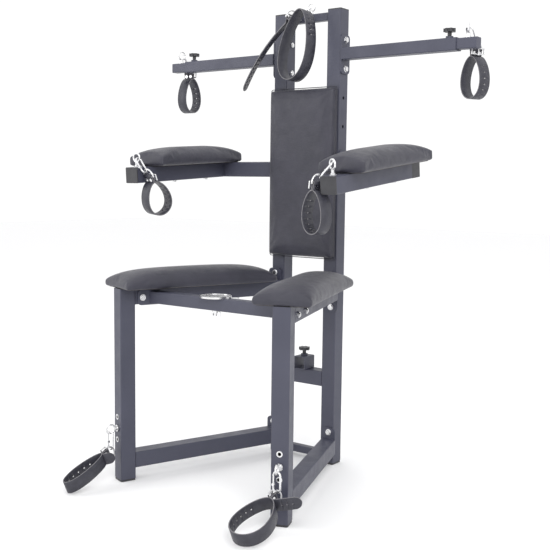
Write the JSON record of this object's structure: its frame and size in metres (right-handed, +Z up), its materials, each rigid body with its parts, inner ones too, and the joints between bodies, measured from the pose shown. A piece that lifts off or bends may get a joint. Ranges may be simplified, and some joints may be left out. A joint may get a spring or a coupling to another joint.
{
  "type": "padded restraint chair",
  "caption": "Free-standing padded chair on a square-tube frame with splayed seat pads, arm rests, a telescopic cross bar and buckled straps on snap hooks.",
  "frame": {"origin": "centre of the bounding box's bottom face, on the floor under the middle of the seat", "axes": "+Z up, -Y towards the front of the seat, +X to the right for someone who faces the front"},
  "size_m": [0.9662, 0.6755, 1.217],
  "materials": {
    "frame_coat": "fine satin powder coat, charcoal",
    "upholstery": "black imitation leather, soft sheen",
    "strap_leather": "black strap leather with paler cut edges",
    "board": "plain plywood",
    "zinc": "bright zinc plating",
    "black_plastic": "moulded black plastic"
  },
  "bodies": {
    "frame": {"front_leg_left": "frame_coat", "front_leg_right": "frame_coat", "seat_rail_left": "frame_coat", "seat_rail_right": "frame_coat", "lower_rail_left": "frame_coat", "lower_rail_right": "frame_coat", "front_rail": "frame_coat", "upright_left": "frame_coat", "upright_right": "frame_coat", "top_rail": "frame_coat", "rear_mid_rail": "frame_coat", "rear_lower_rail": "frame_coat", "rear_socket": "frame_coat", "cross_arm_left": "frame_coat", "cross_arm_right": "frame_coat", "arm_outrigger_left": "frame_coat", "arm_outrigger_right": "frame_coat", "arm_rail_left": "frame_coat", "arm_rail_right": "frame_coat", "back_pad": "upholstery", "seat_pad_left": "upholstery", "seat_pad_right": "upholstery", "arm_pad_left": "upholstery", "arm_pad_right": "upholstery", "pad_boards": "board", "frame_bolts": "zinc", "leg_inserts": "zinc", "tube_caps": "black_plastic", "eye_bolts": "zinc", "mount_disc": "zinc"},
    "slide_bar_left": {"slide_bar_left": "frame_coat", "slide_eye_bolt_left": "zinc"},
    "clamp_knob_left": {"clamp_knob_left": "black_plastic"},
    "slide_bar_right": {"slide_bar_right": "frame_coat", "slide_eye_bolt_right": "zinc"},
    "clamp_knob_right": {"clamp_knob_right": "black_plastic"},
    "clamp_knob_rear": {"clamp_knob_rear": "black_plastic"},
    "wing_nut": {"wing_nut": "zinc"},
    "neck_hook": {"neck_hook": "zinc"},
    "neck_strap": {"neck_buckle": "zinc", "neck_strap": "strap_leather"},
    "wrist_hook_left": {"wrist_hook_left": "zinc"},
    "wrist_strap_left": {"wrist_buckle_left": "zinc", "wrist_strap_left": "strap_leather"},
    "wrist_hook_right": {"wrist_hook_right": "zinc"},
    "wrist_strap_right": {"wrist_buckle_right": "zinc", "wrist_strap_right": "strap_leather"},
    "arm_hook_left": {"arm_hook_left": "zinc"},
    "arm_strap_left": {"arm_buckle_left": "zinc", "arm_strap_left": "strap_leather"},
    "arm_hook_right": {"arm_hook_right": "zinc"},
    "arm_strap_right": {"arm_buckle_right": "zinc", "arm_strap_right": "strap_leather"},
    "ankle_hook_left": {"ankle_hook_left": "zinc"},
    "ankle_strap_left": {"ankle_buckle_left": "zinc", "ankle_strap_left": "strap_leather"},
    "ankle_hook_right": {"ankle_hook_right": "zinc"},
    "ankle_strap_right": {"ankle_buckle_right": "zinc", "ankle_strap_right": "strap_leather"}
  },
  "joints": [
    {"name": "slide_left", "type": "slide", "parent": "frame", "child": "slide_bar_left", "axis": [-1, 0, 0], "range_m": [-0.005, 0.14]},
    {"name": "knob_turn_left", "type": "hinge", "parent": "frame", "child": "clamp_knob_left", "pos_m": [-0.4015, 0.26795, 1.1055], "axis": [0, 0, 1], "continuous": true},
    {"name": "slide_right", "type": "slide", "parent": "frame", "child": "slide_bar_right", "axis": [1, 0, 0], "range_m": [-0.005, 0.14]},
    {"name": "knob_turn_right", "type": "hinge", "parent": "frame", "child": "clamp_knob_right", "pos_m": [0.4015, 0.26795, 1.1055], "axis": [0, 0, 1], "continuous": true},
    {"name": "knob_turn_rear", "type": "hinge", "parent": "frame", "child": "clamp_knob_rear", "pos_m": [0, 0.26625, 0.3], "axis": [0, 0, 1], "continuous": true},
    {"name": "wing_nut_turn", "type": "hinge", "parent": "frame", "child": "wing_nut", "pos_m": [0, -0.1058, 0.44], "axis": [0, 0, 1], "continuous": true},
    {"name": "neck_hook_swing", "type": "hinge", "parent": "frame", "child": "neck_hook", "pos_m": [-0.003, 0.27725, 1.201], "axis": [-0.6401, 0.7683, 0], "range_deg": [0, 30]},
    {"name": "neck_strap_swing", "type": "hinge", "parent": "neck_hook", "child": "neck_strap", "pos_m": [-0.03215, 0.25297, 1.18682], "axis": [0.2849, 0.9509, -0.1208], "range_deg": [-4, 4]},
    {"name": "wrist_hook_swing_left", "type": "hinge", "parent": "slide_bar_left", "child": "wrist_hook_left", "pos_m": [-0.4485, 0.27215, 1.1122], "axis": [1, 0, 0], "range_deg": [0, 13]},
    {"name": "wrist_strap_swing_left", "type": "hinge", "parent": "wrist_hook_left", "child": "wrist_strap_left", "pos_m": [-0.4485, 0.29925, 1.0821], "axis": [-1, 0, 0], "range_deg": [-12, 12]},
    {"name": "wrist_hook_swing_right", "type": "hinge", "parent": "slide_bar_right", "child": "wrist_hook_right", "pos_m": [0.4495, 0.26995, 1.1132], "axis": [1, 0, 0], "range_deg": [0, 40]},
    {"name": "wrist_strap_swing_right", "type": "hinge", "parent": "wrist_hook_right", "child": "wrist_strap_right", "pos_m": [0.4495, 0.29544, 1.08173], "axis": [0.3746, 0.9272, 0], "range_deg": [-4, 12]},
    {"name": "arm_hook_swing_left", "type": "hinge", "parent": "frame", "child": "arm_hook_left", "pos_m": [-0.2935, -0.0698, 0.80504], "axis": [0, -1, 0], "range_deg": [0, 30]},
    {"name": "arm_strap_swing_left", "type": "hinge", "parent": "arm_hook_left", "child": "arm_strap_left", "pos_m": [-0.26857, -0.0698, 0.77312], "axis": [-0.9816, 0.1729, 0.0806], "range_deg": [-12, 12]},
    {"name": "arm_hook_swing_right", "type": "hinge", "parent": "frame", "child": "arm_hook_right", "pos_m": [0.2952, -0.06443, 0.793], "axis": [0, 1, 0], "range_deg": [0, 30]},
    {"name": "arm_strap_swing_right", "type": "hinge", "parent": "arm_hook_right", "child": "arm_strap_right", "pos_m": [0.26707, -0.06443, 0.76387], "axis": [0.2419, 0.9703, 0], "range_deg": [0, 12]},
    {"name": "ankle_hook_swing_left", "type": "hinge", "parent": "frame", "child": "ankle_hook_left", "pos_m": [-0.25705, -0.20289, 0.1287], "axis": [-0.9962, 0.0872, 0], "range_deg": [0, 25]},
    {"name": "ankle_strap_swing_left", "type": "hinge", "parent": "ankle_hook_left", "child": "ankle_strap_left", "pos_m": [-0.25705, -0.20289, 0.0882], "axis": [-0.9962, 0.0872, 0], "range_deg": [0, 3]},
    {"name": "ankle_hook_swing_right", "type": "hinge", "parent": "frame", "child": "ankle_hook_right", "pos_m": [0.25705, -0.20289, 0.1287], "axis": [-0.9994, 0.0349, 0], "range_deg": [0, 25]},
    {"name": "ankle_strap_swing_right", "type": "hinge", "parent": "ankle_hook_right", "child": "ankle_strap_right", "pos_m": [0.25705, -0.20289, 0.0882], "axis": [-0.9994, 0.0349, 0], "range_deg": [0, 20]}
  ]
}
